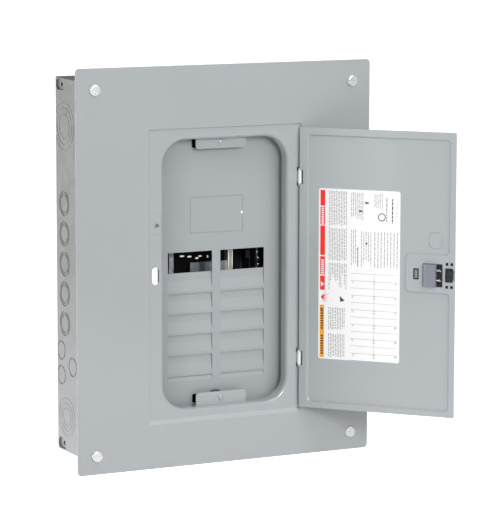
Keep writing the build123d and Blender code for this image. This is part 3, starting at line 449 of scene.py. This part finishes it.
DASHES, DASH_TOP, DASH_PITCH, DASH = 34, -14.0, 3.05, 1.9
for dash in range(DASHES):
    z = DASH_TOP - dash * DASH_PITCH
    band("pale", TABLE_MIDDLE - 0.5, TABLE_MIDDLE + 0.3, z - DASH, z)
    if dash % 6 in (2, 3):
        band("grey", TABLE_MIDDLE - 1.4, TABLE_MIDDLE + 1.2, z - 1.2, z - 0.4)

for colour, outlines in ink.items():
    lowered = [[(s, z - PRINT_DROP) for s, z in outline] for outline in outlines]
    back, front = LABEL_FACE - INK_SUNK, LABEL_FACE + INK_RAISED[colour]
    door_prisms("label_print_" + colour, lowered, back, front, INKS[colour])


# ---------------------------------------------------------------- small bright heads

def heads(name, spots, depth, height, material):
    """Low oval heads (x, z, half width, half height, in mm) that stand on a plane at one depth."""
    around, rings = 16, 4
    vertices, faces = [], []
    for x, z, wide, tall in spots:
        start = len(vertices)
        for level in range(rings):
            lean = math.pi / 2 * (level / rings)
            for k in range(around):
                angle = 2 * math.pi * k / around
                vertices.append(Vector((
                    (x + wide * math.cos(lean) * math.cos(angle)) * MM,
                    (depth + COVER_FRONT - height * math.sin(lean)) * MM,
                    (z + tall * math.cos(lean) * math.sin(angle)) * MM,
                )))
        vertices.append(Vector((x * MM, (depth + COVER_FRONT - height) * MM, z * MM)))
        top = len(vertices) - 1
        faces.append(tuple(start + k for k in reversed(range(around))))
        for level in range(rings - 1):
            for k in range(around):
                a, b = start + level * around + k, start + level * around + (k + 1) % around
                faces.append((a, b, b + around, a + around))
        last = start + (rings - 1) * around
        faces += [(last + k, last + (k + 1) % around, top) for k in range(around)]
    return make_mesh(name, vertices, faces, material, "enclosure", smooth=True)


# A dot on the deadfront with a painted glint, and painted glints: glowing heads for the bright points and
# edges that show through its windows.
DEADFRONT_FACE, BASE_FACE, BAR_FACE, RAIL_GLINT_DEPTH = 26.0, 69.9, 59.9, 57.5
heads("deadfront_rivet", [(33.9, 59.4, 1.5, 1.7)], DEADFRONT_FACE, 0.9, RIVET_PAINTED_GLINT)
# Painted glints: glowing heads on the base.
heads(
    "base_rivet_glints",
    [
        (-26.2, 3.1, 3.2, 1.1), (-16.1, 2.0, 3.0, 1.2), (-6.0, -0.5, 2.2, 1.2),
        (-1.7, 1.8, 2.4, 1.0), (8.6, 0.8, 0.8, 1.6),
    ],
    BASE_FACE, 2.0, GLINT_GLOW_TIN,
)
heads(
    "rail_glints", [(70.6, 2.1, 0.35, 5.0), (72.1, -2.5, 1.1, 1.1), (72.1, -10.5, 1.1, 1.1)],
    RAIL_GLINT_DEPTH, 0.8, GLINT_GLOW_TIN,
)
heads(
    "bar_edge_glints", [(32.8, -2.8, 0.45, 13.5), (38.0, -2.5, 0.35, 13.5)],
    BAR_FACE, 0.4, GLINT_GLOW_TIN,
)


# ---------------------------------------------------------------- latch springs


def coil(name, s_from, s_to, depth, z, radius, wire, turns):
    """A helical compression spring that lies along the closed door's width."""
    ring, steps_per_turn = 8, 18
    steps = turns * steps_per_turn
    length = s_to - s_from
    vertices, faces = [], []
    for i in range(steps + 1):
        t = i / steps
        angle = 2 * math.pi * turns * t
        s = s_from + wire + (length - 2 * wire) * t
        for k in range(ring):
            around = 2 * math.pi * k / ring
            reach = radius + wire * math.cos(around)
            vertices.append(on_door(
                s + wire * math.sin(around), depth + reach * math.cos(angle), z + reach * math.sin(angle)
            ))
    for i in range(steps):
        for k in range(ring):
            a, b = i * ring + k, i * ring + (k + 1) % ring
            faces.append((a, b, b + ring, a + ring))
    faces += [tuple(range(ring)), tuple(reversed(range(steps * ring, steps * ring + ring)))]
    spring = make_mesh(name, vertices, faces, SPRING, "door", smooth=True)
    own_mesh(spring)
    return spring


SPRING_FROM, SPRING_TO, SPRING_DEPTH = 177.15, 183.05, 1.5
SPRING_RADIUS, SPRING_WIRE, SPRING_TURNS = 1.55, 0.32, 5
springs = [
    coil(
        "latch_spring_" + place, SPRING_FROM, SPRING_TO, SPRING_DEPTH, z,
        SPRING_RADIUS, SPRING_WIRE, SPRING_TURNS,
    )
    for place, z in (("upper", -3.6), ("lower", -15.6))
]
for spring in springs:
    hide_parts("latch_springs")


# ---------------------------------------------------------------- room, light and camera

FLOOR_HEIGHT, FLOOR_HALF = -0.62, 60.0
floor_mesh = bpy.data.meshes.new("floor")
floor_mesh.from_pydata(
    [(x * FLOOR_HALF, y * FLOOR_HALF, FLOOR_HEIGHT) for x, y in ((-1, -1), (1, -1), (1, 1), (-1, 1))],
    [], [(0, 1, 2, 3)],
)
floor = bpy.data.objects.new("floor", floor_mesh)
bpy.context.scene.collection.objects.link(floor)
floor_mesh.materials.append(FLOOR)


def soft_light(name, position, width, height, watts):
    """A rectangular area light that faces the row frame's origin."""
    light = bpy.data.lights.new(name, "AREA")
    light.shape = "RECTANGLE"
    light.size, light.size_y = width, height
    light.energy = watts
    lamp = bpy.data.objects.new(name, light)
    bpy.context.scene.collection.objects.link(lamp)
    lamp.location = position
    lamp.rotation_mode = "QUATERNION"
    lamp.rotation_quaternion = (-Vector(position)).to_track_quat("-Z", "Y")


LIGHTS = {
    # name: position, width, height, watts
    "front": ((0.2, -3.4, 0.5), 1.6, 1.4, 12.0),
    "front_high": ((0.4, -3.2, 1.3), 2.0, 1.4, 12.0),
    "key": ((-0.3, -2.9, 1.0), 0.8, 0.8, 27.0),
    "front_right": ((1.8, -2.8, 0.9), 1.2, 1.2, 6.5),
    "overhead": ((0.5, -1.8, 2.8), 1.4, 1.4, 28.0),
    "side": ((-3.0, 0.25, 0.3), 0.6, 1.0, 39.0),
    "front_left": ((-3.0, -1.1, 0.2), 0.8, 1.2, 3.0),
}
for name, values in LIGHTS.items():
    soft_light(name, *values)

SKY_STRENGTH = 0.22
world = bpy.data.worlds.new("studio")
bpy.context.scene.world = world
world.use_nodes = True
sky = world.node_tree.nodes["Background"]
sky.inputs["Color"].default_value = (1, 1, 1, 1)
sky.inputs["Strength"].default_value = SKY_STRENGTH

CAMERA_PLACE = (-1.51317, -3.17932, 0.49225)
FOCAL_PIXELS, LONG_SIDE_PIXELS, SENSOR_WIDTH = 2866.28, 514.0, 36.0
yaw, pitch, roll = math.radians(26.6273), math.radians(8.0046), math.radians(0.0979)
forward = Vector((math.sin(yaw) * math.cos(pitch), math.cos(yaw) * math.cos(pitch), -math.sin(pitch)))
level = Vector((math.cos(yaw), -math.sin(yaw), 0))
upright = level.cross(forward)
right = level * math.cos(roll) + upright * math.sin(roll)
up = upright * math.cos(roll) - level * math.sin(roll)
lens = bpy.data.cameras.new("camera")
lens.sensor_fit = "AUTO"
lens.sensor_width = SENSOR_WIDTH
lens.lens = FOCAL_PIXELS * SENSOR_WIDTH / LONG_SIDE_PIXELS
lens.clip_start, lens.clip_end = 0.05, 200.0
lens.dof.use_dof = False
camera = bpy.data.objects.new("camera", lens)
bpy.context.scene.collection.objects.link(camera)
turn = Matrix((right, up, -forward)).transposed().to_4x4()
camera.matrix_world = Matrix.Translation(CAMERA_PLACE) @ turn
bpy.context.scene.camera = camera
bpy.context.scene.view_settings.view_transform = "Standard"
